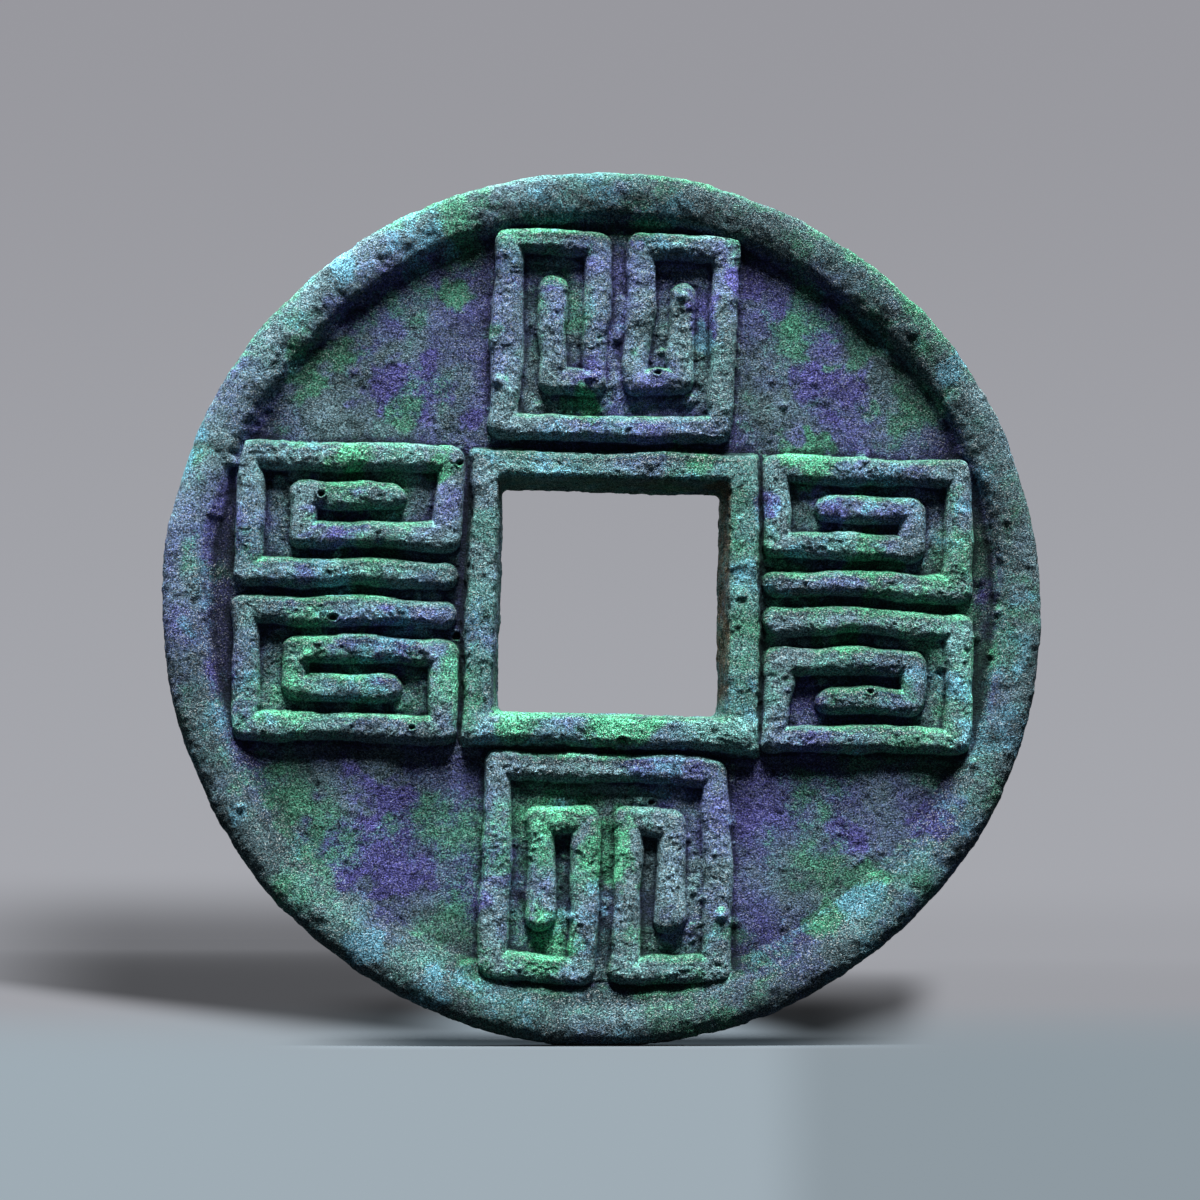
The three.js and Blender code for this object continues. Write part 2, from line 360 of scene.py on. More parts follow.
def panel_lines(name):
    """The centre lines of a panel's ridges, as pairs of end points in mm."""
    (last_across, path), axis, side = PANELS[name]
    u0, u1, v0, v1 = panel_box(name)
    out_low, out_high = sorted(abs(v) for v in ((u0, u1) if axis == "x" else (v0, v1)))
    cross_low, cross_high = (v0, v1) if axis == "x" else (u0, u1)
    out_step = (out_high - out_low - 2 * RIDGE_INSET) / LAST_LINE_OUT
    cross_step = ((cross_high - cross_low) / 2 - RIDGE_INSET) / last_across
    middle = (cross_low + cross_high) / 2
    lines = []
    for mirror in (-1, 1):
        points = []
        for out, across in path:
            away = side * (out_low + RIDGE_INSET + out * out_step)
            cross = middle + mirror * across * cross_step
            points.append((away, cross) if axis == "x" else (cross, away))
        lines += list(zip(points[:-1], points[1:]))
    return lines


def panel_height(u, v, name):
    """Height of a panel above the field: a rounded profile of the distance to the nearest ridge
    line, over a low pad that ends at the panel's edge."""
    sizes = sizes_now()
    wander_u = u + sizes.waver * (layered(u, 3.1, v, 3.2, 11, 2) + 0.2 * noise(u, 1.1, v, 0.5, 13))
    wander_v = v + sizes.waver * (layered(u, 8.7, v, 3.2, 17, 2) + 0.2 * noise(u, 6.1, v, 0.5, 19))
    nearest = np.full(np.shape(u), 9.0)
    for (au, av), (bu, bv) in panel_lines(name):
        du, dv = bu - au, bv - av
        share = np.clip(((wander_u - au) * du + (wander_v - av) * dv) / (du * du + dv * dv), 0, 1)
        away = np.hypot(wander_u - au - share * du, wander_v - av - share * dv)
        nearest = np.minimum(nearest, away)
    half = sizes.ridge_half_width * (1 + 0.13 * noise(u, 5.5, v, 2.2, 23) + 0.06 * noise(u, 2.5, v, 0.9, 27))
    crown = np.sqrt(np.clip(1 - (nearest / half) ** 2.8, 0, 1))
    worn = 1 - 0.10 * (1 + layered(u, 1.9, v, 2.4, 29, 2))
    u0, u1, v0, v1 = panel_box(name)
    edge = np.minimum(np.minimum(wander_u - u0, u1 - wander_u), np.minimum(wander_v - v0, v1 - wander_v))
    pad = sizes.groove_floor * step(-0.1, 0.25, edge)
    silt = 0.12 * step(0.1, 0.9, layered(u, 4.4, v, 1.6, 37, 2)) * step(-0.1, 0.25, edge)
    return np.maximum(pad + silt, 0.98 * RELIEF * worn * crown)


def lumps(x, z, side):
    """Small nodules that stand up from the crust, as round caps, and gas holes with raised lips."""
    height = np.zeros(np.shape(x))
    chance = np.random.default_rng(71 + side)
    for _ in range(90):
        far, angle = 19.6 * math.sqrt(chance.random()), 2 * math.pi * chance.random()
        reach = 0.14 + 0.3 * chance.random() ** 3
        share = ((x - far * math.cos(angle)) ** 2 + (z - far * math.sin(angle)) ** 2) / reach ** 2
        height = height + 0.5 * reach * np.clip(1 - share, 0, 1) ** 1.5
    if side == FRONT:
        for hole_x, hole_z, reach in GAS_HOLES:
            share = np.hypot(x - hole_x, 1.3 * (z - hole_z)) / reach + 0.35 * noise(x, 4.1, z, 0.18, 75)
            height = height - 0.45 * (1 - step(0.4, 0.9, share)) + 0.06 * np.exp(-((share - 1.2) / 0.3) ** 2)
    return height


# The relief of each face is worked out once on a square grid and then looked up by every piece.
GRID_STEP = 0.05
GRID_REACH = 21.5
GRID_LINE = np.arange(-GRID_REACH, GRID_REACH + GRID_STEP, GRID_STEP)


def relief(side):
    """Height in mm above the field of everything on one face, on the grid: the outer rim, the rim of
    the hole, the panels, and the lumps, whichever is highest."""
    x, z = np.meshgrid(GRID_LINE, GRID_LINE)
    u, v = on_ornament(x, z)
    angle = np.arctan2(z, x)
    height = RELIEF * step(rim_foot(angle) - 0.3, rim_crest(angle), np.hypot(x, z))
    away, reach = hole_distance(u, v), hole_rim_reach(u, v)
    height = np.maximum(height, RELIEF * step(-reach - 0.05, 0.4 - reach, -away))
    if side == FRONT:
        for name in PANELS:
            height = np.maximum(height, panel_height(u, v, name))
    return height + lumps(x, z, side)


def blur(grid, reach):
    """The mean over a square of that many mm to each side, by running sums, made twice."""
    half = int(round(reach / GRID_STEP))
    for axis in (0, 1, 0, 1):
        margins = [(half + 1, half) if a == axis else (0, 0) for a in (0, 1)]
        total = np.cumsum(np.pad(grid, margins, mode="edge"), axis=axis)
        places = np.arange(grid.shape[axis])
        upper = np.take(total, places + 2 * half + 1, axis=axis)
        grid = (upper - np.take(total, places, axis=axis)) / (2 * half + 1)
    return grid


def look_up(grid, x, z):
    """The grid's value at places on the coin, even between the four nearest points."""
    column = np.clip((x + GRID_REACH) / GRID_STEP, 0, len(GRID_LINE) - 1.001)
    row = np.clip((z + GRID_REACH) / GRID_STEP, 0, len(GRID_LINE) - 1.001)
    i, j = row.astype(int), column.astype(int)
    a, b = row - i, column - j
    low = grid[i, j] * (1 - b) + grid[i, j + 1] * b
    high = grid[i + 1, j] * (1 - b) + grid[i + 1, j + 1] * b
    return low * (1 - a) + high * a


GRIDS = {}


def face_grids(side):
    """The hollowness, the lumps and the painted shade of one face, made once. Hollowness is 0.5 on even
    ground, more in a groove and less on a crest: the blurred relief less the relief, near and far.
    The painted shade is the same for the widest blur, from 0 in the open, and darkens the crust there."""
    if side not in GRIDS:
        height = relief(side)
        near = blur(height, 0.25) - height
        far = blur(height, 0.8) - height
        wide = blur(height, 1.6) - height
        x, z = np.meshgrid(GRID_LINE, GRID_LINE)
        GRIDS[side] = np.clip(0.5 + 0.9 * near + 0.5 * far, 0, 1), lumps(x, z, side), np.clip(2 * wide, 0, 1)
    return GRIDS[side]


def face_value(which, x, y, z):
    """One of the face grids at points on either face."""
    return np.where(y < 0, look_up(face_grids(FRONT)[which], x, z), look_up(face_grids(BACK)[which], x, z))


def hollowness(x, y, z):
    """Hollowness at points on either face."""
    return face_value(0, x, y, z)


def lump_height(x, y, z):
    """Height of the lumps at points on either face."""
    return face_value(1, x, y, z)


def plates(x, y, z):
    """Plates of crust, from 0 to 1: layered noise cut at two levels, so that they have steep edges."""
    value = layered(x, y, z, 1.2, 201, 4)
    return 0.6 * step(-0.05, 0.15, value) + 0.4 * step(0.45, 0.6, value)


def cast_surface(x, y, z, nx, ny, nz, rough):
    """Turns a true shape into a cast and corroded one: every point wanders a little, then moves along
    its normal by lumps, plates and grain, and nothing goes lower than the worn flat. Gives x, y, z
    and lift."""
    sizes = sizes_now()
    lift = layered(x, y, z, 1.5, 41, 2) + 0.8 * layered(x, y, z, 0.5, 47, 2) + noise(x, y, z, 0.2, 53)
    crust = plates(x, y, z)
    faces_out = step(0.3, 0.8, np.abs(ny))
    move = rough * (sizes.grain * lift + sizes.plates * (crust - 0.5)) + lump_height(x, y, z) * faces_out
    lift = lift + 1.5 * crust
    drift_x = 0.45 * sizes.waver * noise(x, y, z, 5.0, 61)
    drift_z = 0.45 * sizes.waver * noise(x, y, z, 5.0, 67)
    drift_y = 0.12 * sizes.waver * noise(x, y, z, 7.0, 71)
    low = np.maximum(z + drift_z + move * nz, -CENTRE_HEIGHT)
    deep = np.clip(y + drift_y + move * ny, -CREST - PROUD / 2, CREST + PROUD / 2)
    return x + drift_x + move * nx, deep, low, lift


# About how far across the patches of each colour are, in mm.
PATCH_SIZES = {"green": 3.2, "violet": 4.2, "sky": 2.2, "teal": 4.0, "pale": 5.0}


def patches(x, y, z):
    """How strong each colour of the crust is at points, from 0 to 1: layered noise, raised on the
    front by the accents, whose edges the noise makes ragged."""
    strengths = {}
    for seed, (colour, size) in enumerate(PATCH_SIZES.items()):
        value = 0.5 + 0.4 * layered(x, y, z, size, 101 + 10 * seed, 4)
        ragged = 0.45 * layered(x, y, z, 0.9, 151 + 10 * seed, 3)
        for accent_x, accent_z, reach, strength in ACCENTS[colour]:
            away = np.hypot(x - accent_x, z - accent_z) / reach + ragged
            value = np.maximum(value, np.where(y < 0, 1.1 * strength * (1 - step(0.2, 1.25, away)), 0))
        strengths[colour] = np.clip(value, 0, 1)
    return strengths


def grid_faces(rows, columns, wrap_rows, wrap_columns):
    """The four-sided faces of a grid of points, joined end to end where it wraps."""
    i = np.arange(rows if wrap_rows else rows - 1)[:, None]
    j = np.arange(columns if wrap_columns else columns - 1)[None, :]
    i2, j2 = (i + 1) % rows, (j + 1) % columns
    corners = [i * columns + j, i * columns + j2, i2 * columns + j2, i2 * columns + j]
    return np.stack(corners, axis=-1).reshape(-1, 4)


def build_piece(node, slot_name, shape):
    points, quads, triangles, values = shape
    mesh = bpy.data.meshes.new(node)
    placed = (points + np.array([0, 0, CENTRE_HEIGHT])) * MM
    corners = np.concatenate([quads.ravel(), triangles.ravel()]).astype(np.int32)
    starts = np.concatenate([np.arange(len(quads)) * 4, quads.size + np.arange(len(triangles)) * 3])
    mesh.vertices.add(len(placed))
    mesh.vertices.foreach_set("co", placed.astype(np.float32).ravel())
    mesh.loops.add(len(corners))
    mesh.loops.foreach_set("vertex_index", corners)
    mesh.polygons.add(len(starts))
    mesh.polygons.foreach_set("loop_start", starts.astype(np.int32))
    mesh.update(calc_edges=True)
    mesh.shade_smooth()
    for key, value in values.items():
        layer = mesh.attributes.new(key, "FLOAT", "POINT")
        layer.data.foreach_set("value", value.astype(np.float32).ravel())
    mesh.materials.append(patina_for(slot_name))
    piece = bpy.data.objects.new(node + "_cast", mesh)
    bpy.context.scene.collection.objects.link(piece)
    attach(piece, "root")
    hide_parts(node)


def crust_values(x, y, z, hollow, lift, rust=0.0, painted_light=0.0):
    """The values that the crust's colours are mixed by, at each point. The painted light is how much
    lighter than elsewhere the crust is painted there, as a share."""
    values = patches(x, y, z)
    values["painted_light"] = np.broadcast_to(painted_light, x.shape)
    values["hollow"] = np.clip(hollow - 0.05 * lift, 0, 1)
    values["rust"] = np.broadcast_to(rust, x.shape)
    # Painted shade, looked up half a mm higher so that it falls below ledges.
    values["painted_shade_under_relief"] = face_value(2, x, y, z + 0.5)
    return {key: value.reshape(-1) for key, value in values.items()}


def rounded_section(corners, radii, count):
    """An open line through corners in distance and depth, each rounded by an arc-like curve that
    starts and ends its radius away from the corner. It is sampled evenly along its length, but wider
    apart on the back half, and given with its normals."""
    corners = np.array(corners, float)
    points = [corners[:1]]
    for radius, before, here, after in zip(radii, corners, corners[1:], corners[2:]):
        start = here + (before - here) / np.linalg.norm(before - here) * radius
        end = here + (after - here) / np.linalg.norm(after - here) * radius
        share = np.linspace(0, 1, 9)[:, None]
        points.append(start * (1 - share) ** 2 + 2 * here * share * (1 - share) + end * share ** 2)
    line = np.concatenate([*points, corners[-1:]])
    length = np.linalg.norm(np.diff(line, axis=0), axis=1) * np.where(line[1:, 1] > 0.4, 0.5, 1)
    along = np.concatenate([[0], np.cumsum(length)])
    places = np.linspace(0, along[-1], count)
    across, depth = (np.interp(places, along, line[:, axis]) for axis in (0, 1))
    slope_a, slope_d = np.gradient(across), np.gradient(depth)
    size = np.hypot(slope_a, slope_d)
    return across, depth, slope_d / size, -slope_a / size


def make_outer_rim():
    """The ring: a rounded section in radius and depth, carried round the coin, with its foot
    following the wandering foot line and running out under the field. Its crust is painted lighter at
    the upper left and where it faces up, as painted light, and a little darker elsewhere."""
    sizes = sizes_now()
    turns, count = 1400, 70
    crest = RIM_FOOT + sizes.rim_slope
    front = [(RIM_FOOT - 1.0, 0.1 - FIELD_LEVEL), (RIM_FOOT - 0.15, -0.02 - FIELD_LEVEL),
             (crest, 0.17 - CREST_LINE), (RIM_FOOT + RIM_TOP_END, -0.03 - CREST_LINE),
             (COIN_RADIUS - 0.03, 0.27 - CREST_LINE)]
    corners = front + [(r, -d) for r, d in reversed(front)]
    radii = [0.4, 0.3, 0.4, sizes.edge_round, sizes.edge_round, 0.4, 0.3, 0.4]
    radius, depth, out_r, out_d = rounded_section(corners, radii, count)
    angle = np.linspace(0, 2 * math.pi, turns, endpoint=False)[:, None]
    inward = np.clip((crest + 0.1 - radius) / (crest + 0.1 - RIM_FOOT), 0, 1)
    middle = RIM_FOOT + RIM_TOP_END
    moved = (rim_crest(angle) - crest) * np.clip((middle - radius) / (middle - crest), 0, 1)
    radius = radius + moved + (rim_foot(angle) - rim_crest(angle) + sizes.rim_slope) * inward
    x, z = radius * np.cos(angle), radius * np.sin(angle)
    y = np.broadcast_to(depth, x.shape)
    nx, ny, nz = out_r * np.cos(angle), np.broadcast_to(out_d, x.shape), out_r * np.sin(angle)
    px, py, pz, lift = cast_surface(x, y, z, nx, ny, nz, 0.9)
    hollow = hollowness(x, y, z)
    hollow = hollow + (0.5 - hollow) * step(0.5, 0.9, out_r)
    points = np.stack([px, py, pz], axis=-1).reshape(-1, 3)
    # Painted light: the crust is painted lighter at the upper left and where it faces up, and a little darker
    # elsewhere.
    upper_left = 0.64 * np.sin(angle) - 0.77 * np.cos(angle)
    painted_light = 0.75 * step(0.6, 0.95, upper_left) + 0.5 * step(0.3, 0.9, nz) - 0.18
    values = crust_values(x, y, z, hollow, lift, painted_light=painted_light * (1 - 0.6 * inward))
    values["violet"] = values["violet"] + 0.35 * np.broadcast_to(inward, x.shape).reshape(-1)
    return points, grid_faces(turns, count, True, True), NO_TRIANGLES, values


def rounded_rect(turn, half_width, half_height, corner):
    """A point on a rectangle with round corners. turn goes from 0 to 1 round it, from the middle of
    its right side. Each quarter is a straight half side, an arc and another straight half side."""
    quarter = np.floor(turn * 4).astype(int) % 4
    local = turn * 4 - np.floor(turn * 4)
    local = np.where(quarter % 2 == 1, 1 - local, local)
    first, last = 0.45, 0.55
    angle = np.clip((local - first) / (last - first), 0, 1) * math.pi / 2
    u = half_width - corner + corner * np.cos(angle)
    v = half_height - corner + corner * np.sin(angle)
    u = np.where(local > last, (half_width - corner) * (1 - local) / (1 - last), u)
    v = np.where(local < first, (half_height - corner) * local / first, v)
    return u * np.where((quarter == 1) | (quarter == 2), -1, 1), v * np.where(quarter >= 2, -1, 1)


def round_hole(turn, away):
    """The place u, v that is away mm outside the wall of the hole, at a turn round it."""
    width = sizes_now().hole_rim_width
    u, v = rounded_rect(turn, HOLE_RIM_HALF_WIDTH - width + away, HOLE_RIM_HALF_HEIGHT - width + away,
                        0.3 + 0.03 * away)
    return u + HOLE_U, v + HOLE_V


def make_hole_rim():
    """The square frame: a rounded section in distance from the hole and depth, carried round the
    hole, with its foot following the wandering reach of the rim. The hole is wider in front."""
    sizes = sizes_now()
    width = sizes.hole_rim_width
    turns, count = 660, 108
    foot = [(width + 0.3, FIELD_LEVEL - 0.12), (width, FIELD_LEVEL), (width - 0.3, CREST_LINE)]
    corners = [(a, -d) for a, d in foot] + [(sizes.hole_draft, -CREST_LINE), (0, CREST_LINE)] + foot[::-1]
    away, depth, out_a, out_d = rounded_section(corners, [0.2, 0.4, 0.35, 0.35, 0.4, 0.2], count)
    turn = np.linspace(0, 1, turns, endpoint=False)[:, None]
    u, v = round_hole(turn, away)
    stretch = hole_rim_reach(u, v) / width
    wall_u, wall_v = round_hole(turn, away * stretch)
    next_u, next_v = round_hole(turn, away * stretch + 0.01)
    x, z = on_coin(wall_u, wall_v)
    next_x, next_z = on_coin(next_u, next_v)
    size = np.hypot(next_x - x, next_z - z)
    out_a, out_d = -out_a, -out_d
    nx, nz = out_a * (next_x - x) / size, out_a * (next_z - z) / size
    y = np.broadcast_to(depth, x.shape)
    px, py, pz, lift = cast_surface(x, y, z, nx, np.broadcast_to(out_d, x.shape), nz, 1.0)
    hollow = hollowness(x, y, z)
    inside = step(0.5, 0.95, -out_a) + 0 * x
    # The walls of the hole are made a little hollow, which paints them a little darker as shade.
    hollow = hollow + (0.62 - hollow) * inside
    points = np.stack([px, py, pz], axis=-1).reshape(-1, 3)
    rust = inside * np.maximum(step(4.2, 5.0, x), 0.6 * step(4.5, 5.2, z)) * (1 - step(4.2, 5.0, -z))
    # Painted light: the face of the frame is painted lighter all round, more on its upper bar and most on its
    # lower bar.
    low_bar = step(5.2, 5.6, -z)
    painted_light = (1 - inside) * (0.2 + 0.3 * step(5.2, 5.6, z) + 0.7 * low_bar)
    values = crust_values(x, y, z, hollow, lift, rust, painted_light)
    values["teal"] = values["teal"] + 0.3
    values["green"] = values["green"] + 0.15 * low_bar.reshape(-1)
    values["pale"] = values["pale"] + 0.5
    faces = grid_faces(turns, count, True, True)[:, ::-1]
    return points, faces, NO_TRIANGLES, values


def make_field():
    """The plate: lines ruled from the foot of the hole's rim to the foot of the outer rim, on the
    front and back, joined by its two hidden walls. The lines stand closer between the panels."""
    turns, front, back = 760, 96, 34
    across = np.concatenate([np.linspace(0, 1, front), np.linspace(1, 0, back)])
    depth = np.concatenate([np.full(front, -FIELD_LEVEL), np.full(back, FIELD_LEVEL)])
    even = np.linspace(0, 1, turns, endpoint=False)[:, None]
    turn = even + 0.5 / (8 * math.pi) * np.sin(8 * math.pi * even)
    inner_u, inner_v = round_hole(turn, sizes_now().hole_rim_width - 0.12)
    inner_x, inner_z = on_coin(inner_u, inner_v)
    angle = turn * 2 * math.pi
    outer = rim_foot(angle) + 0.08
    outer_x, outer_z = outer * np.cos(angle), outer * np.sin(angle)
    x = inner_x + (outer_x - inner_x) * across
    z = inner_z + (outer_z - inner_z) * across
    y = np.broadcast_to(depth, x.shape)
    flat = np.zeros(x.shape)
    px, py, pz, lift = cast_surface(x, y, z, flat, np.sign(y), flat, 0.75)
    points = np.stack([px, py, pz], axis=-1).reshape(-1, 3)
    values = crust_values(x, y, z, hollowness(x, y, z), lift)
    return points, grid_faces(turns, front + back, True, True), NO_TRIANGLES, values


def make_panel(name):
    """A panel: a grid over its rectangle, raised by the ornament and drawn in where it nears the
    outer rim, whose skirt sinks into the field, closed behind by a fan."""
    u0, u1, v0, v1 = panel_box(name)
    columns = int((u1 - u0 + 2 * SKIRT) / PANEL_SPACING)
    rows = int((v1 - v0 + 2 * SKIRT) / PANEL_SPACING)
    u, v = np.meshgrid(np.linspace(u0 - SKIRT, u1 + SKIRT, columns),
                       np.linspace(v0 - SKIRT, v1 + SKIRT, rows))
    edge = np.minimum(np.minimum(u - u0, u1 - u), np.minimum(v - v0, v1 - v)) + SKIRT
    span = RIM_FOOT + 0.25 - DRAWN_FROM
    radius = np.hypot(u, v)
    bent = DRAWN_FROM + span * np.tanh((radius - DRAWN_FROM) / span)
    drawn = np.where(radius > DRAWN_FROM, bent, radius) / radius
    u, v = u * drawn, v * drawn
    x, z = on_coin(u, v)
    buried = 0.3 * (1 - step(0.0, 0.3, edge))
    y = -(FIELD_LEVEL + panel_height(u, v, name) * step(0.0, 0.3, edge) - buried)
    flat = np.zeros(x.shape)
    px, py, pz, lift = cast_surface(x, y, z, flat, -np.ones(x.shape), flat, 0.9)
    count = rows * columns
    index = np.arange(count).reshape(rows, columns)
    border = np.concatenate([index[0, :-1], index[:-1, -1], index[-1, :0:-1], index[:0:-1, 0]])
    top = np.stack([px, py, pz], axis=-1).reshape(-1, 3)
    low = top[border].copy()
    low[:, 1] = -(FIELD_LEVEL - PANEL_ROOT)
    middle = low.mean(axis=0, keepdims=True)
    ring = count + np.arange(len(border))
    wall = np.stack([border, ring, np.roll(ring, -1), np.roll(border, -1)], axis=-1)
    fan = np.stack([ring, np.full(len(ring), count + len(ring)), np.roll(ring, -1)], axis=-1)
    values = crust_values(x, y, z, hollowness(x, y, z), lift)
    values = {key: np.concatenate([value, value[border], value[:1]]) for key, value in values.items()}
    quads = np.concatenate([grid_faces(rows, columns, False, False), wall])
    return np.concatenate([top, low, middle]), quads, fan, values


class Wire:
    """A shader value that can be used in Python sums. Each sum adds a Math node."""

    def __init__(self, tree, socket):
        self.tree, self.socket = tree, socket

    def node(self, kind, settings, inputs, output=0):
        """Adds a node of a kind, sets its settings first and then its sockets, and gives its output."""
        node = self.tree.nodes.new(kind)
        for key, value in settings.items():
            setattr(node, key, value)
        for key, value in inputs.items():
            if isinstance(value, Wire):
                self.tree.links.new(value.socket, node.inputs[key])
            else:
                node.inputs[key].default_value = value
        return Wire(self.tree, node.outputs[output])

    def sum(self, operation, first, second):
        """A Math node of two values."""
        return self.node("ShaderNodeMath", {"operation": operation}, {0: first, 1: second})

    def __add__(self, other):
        return self.sum("ADD", self, other)

    def __radd__(self, other):
        return self.sum("ADD", other, self)

    def __sub__(self, other):
        return self.sum("SUBTRACT", self, other)

    def __rsub__(self, other):
        return self.sum("SUBTRACT", other, self)

    def __mul__(self, other):
        return self.sum("MULTIPLY", self, other)

    def __rmul__(self, other):
        return self.sum("MULTIPLY", other, self)

    def __truediv__(self, other):
        return self.sum("DIVIDE", self, other)

    def __rtruediv__(self, other):
        return self.sum("DIVIDE", other, self)

    def other(self, output):
        """Another output of the node that this value comes from."""
        return Wire(self.tree, self.socket.node.outputs[output])

    def spots(self, size, detail=2.0, roughness=0.6):
        """Noise at this place, whose spots are about that many mm across, from 0 to 1."""
        return self.node("ShaderNodeTexNoise", {"noise_dimensions": "3D"},
                         {"Vector": self, "Scale": 1 / size, "Detail": detail, "Roughness": roughness})

    def grains(self, size):
        """Rounded grains of about that many mm: their domes, from 0 to 1, and a random tone for each."""
        dome = self.node("ShaderNodeTexVoronoi", {"voronoi_dimensions": "3D", "feature": "F1"},
                         {"Vector": self, "Scale": 1 / size}, "Distance")
        tone = self.node("ShaderNodeSeparateColor", {}, {0: dome.other("Color")})
        return 1 - dome * 1.3, tone

    def ramp(self, low, high):
        """Zero where this value is at low, one where it is at high, eased between."""
        return self.node("ShaderNodeMapRange", {"interpolation_type": "SMOOTHSTEP"},
                         {"Value": self, "From Min": low, "From Max": high, "To Min": 0.0, "To Max": 1.0})

    def toward(self, colour, share):
        """This colour mixed with another by a share."""
        return self.node("ShaderNodeMix", {"data_type": "RGBA"}, {0: share, 6: self, 7: colour}, 2)

    def light(self, colour):
        """A colour times this amount."""
        return self.node("ShaderNodeVectorMath", {"operation": "SCALE"}, {"Vector": colour, "Scale": self})


def patina(name, violet_from, green_from, sky_from, teal_from, bright_green, lightness, speckle):
    """The corrosion crust: slate with patches of teal, violet, green and turquoise that begin at
    those strengths, paler in places, lighter and greener on ledges that face up as partly painted light
    from above, grooves darkened by dirt and painted shade, painted shade below the relief, painted light
    where it is set, pale specks that are partly painted glints, dark specks, and a sandy bump."""
    colours = bpy.context.scene.coin_colours
    material = bpy.data.materials.new(name)
    material.use_nodes = True
    shader = material.node_tree.nodes["Principled BSDF"]
    root = Wire(material.node_tree, None)
    place = root.node("ShaderNodeTexCoord", {}, {}, "Object")
    facing_up = root.node("ShaderNodeSeparateXYZ", {}, {0: place.other("Normal")}, "Z")
    # Painted light: ledges that face up are made lighter, and teal and green are stronger there, partly
    # standing in for light from above.
    ledge = facing_up.ramp(0.15, 0.75)
    place = root.node("ShaderNodeVectorMath", {"operation": "SCALE"}, {"Vector": place, "Scale": 1 / MM})
    value = {key: root.node("ShaderNodeAttribute", {"attribute_name": key}, {}, "Fac")
             for key in ("hollow", "rust", "painted_shade_under_relief", "painted_light", *PATCH_SIZES)}
    rgb = {key: (*getattr(colours, key), 1.0) for key in colours.__annotations__}

    dome, tone = place.grains(0.042)
    sand = place.spots(0.1, 3.0, 0.7)
    blots = place.spots(0.8, 3.0, 0.6)
    clouds = place.spots(3.5, 2.0, 0.6)
    ragged = (blots - 0.5) * 0.7 + (sand - 0.5) * 0.6
    sunk = value["hollow"].ramp(0.55, 0.78)
    proud = value["hollow"].ramp(0.47, 0.32)
    pale = (value["pale"] + 0.5 * ragged).ramp(0.45, 1.0)

    colour = (0.8 + 0.45 * blots.ramp(0.3, 0.7) + 0.45 * pale).light(colours.slate)
    teal = value["teal"] + ragged + 0.3 * ledge
    colour = colour.toward(rgb["teal"], 0.8 * teal.ramp(teal_from, teal_from + 0.5))
    violet = value["violet"] + ragged + 0.3 * sunk - 0.25 * ledge
    colour = colour.toward(rgb["violet"], 0.85 * violet.ramp(violet_from, violet_from + 0.7))
    green = value["green"] + ragged + 0.25 * ledge - 0.1 * proud
    colour = colour.toward(rgb["green"], 0.85 * green.ramp(green_from, green_from + 0.35))
    brightest = green.ramp(green_from + 0.3, green_from + 0.6)
    colour = colour.toward(rgb["malachite"], bright_green * brightest)
    colour = colour.toward(rgb["sky"], 0.75 * (value["sky"] + ragged).ramp(sky_from, sky_from + 0.35))
    colour = colour.toward(rgb["rust"], value["rust"] * (blots + sand).ramp(0.75, 1.15))
    # Brightness: painted shade below and near the relief, painted light on ledges that face up and where
    # painted light is set, times a random cloudy tone.
    lightness_with_painted_light = lightness * (1 - 0.65 * value["painted_shade_under_relief"].ramp(0.1, 0.9)) * (1 + 0.25 * ledge)
    lightness_with_painted_light = lightness_with_painted_light * (0.75 + 0.5 * clouds.ramp(0.3, 0.7)) * (1 + value["painted_light"])
    colour = (lightness_with_painted_light * (0.5 + sand.ramp(0.3, 0.7)) * (0.25 + 1.5 * tone.ramp(0.15, 0.85))).light(colour)
    # Grooves are darkened toward near black: partly dirt and partly painted shade.
    colour = colour.toward(rgb["dark"], sunk * 0.8)
    # Pale specks, partly painted glints on the grains: none in the grooves, and more on crests and pale
    # patches.
    specks_and_glints = tone.ramp(0.88, 0.96) * (1 - sunk)
    colour = colour.toward(rgb["speck"], specks_and_glints * (speckle + 0.2 * proud + 0.15 * pale))
    roughness = 0.95 - 0.2 * specks_and_glints
    height = sand + 0.25 * dome + 0.3 * blots
    bump = root.node("ShaderNodeBump", {}, {"Height": height, "Strength": 1.0, "Distance": 0.2 * MM})

    links = material.node_tree.links
    links.new(colour.socket, shader.inputs["Base Color"])
    links.new(roughness.socket, shader.inputs["Roughness"])
    links.new(bump.socket, shader.inputs["Normal"])
    shader.inputs["Specular IOR Level"].default_value = 0.12
    return material


# Where violet, green, turquoise and teal begin in each crust, where a lower number gives more of the
# colour, then how strong the bright green is, how light the crust, and how strong its pale specks,
# which are partly painted glints.
PATINAS = {
    "field_patina": (0.14, 0.48, 0.85, 0.75, 0.3, 1.1, 0.25),
    "rim_patina": (0.45, 0.52, 0.6, 0.5, 0.6, 1.12, 0.4),
    "panel_patina": (0.34, 0.44, 0.66, 0.46, 0.6, 1.95, 0.4),
}


def patina_for(slot_name):
    """The crust of a material slot, made once."""
    name = slot_name + "_crust"
    return bpy.data.materials.get(name) or patina(name, *PATINAS[slot_name])


class COIN_OT_outer_rim(bpy.types.Operator):
    """Builds the ring round the coin"""

    bl_idname = "coin.outer_rim"
    bl_label = "Outer rim"

    def execute(self, context):
        build_piece("outer_rim", "rim_patina", make_outer_rim())
        return {"FINISHED"}


class COIN_OT_hole_rim(bpy.types.Operator):
    """Builds the square frame that lines the hole"""

    bl_idname = "coin.hole_rim"
    bl_label = "Hole rim"

    def execute(self, context):
        build_piece("hole_rim", "rim_patina", make_hole_rim())
        return {"FINISHED"}


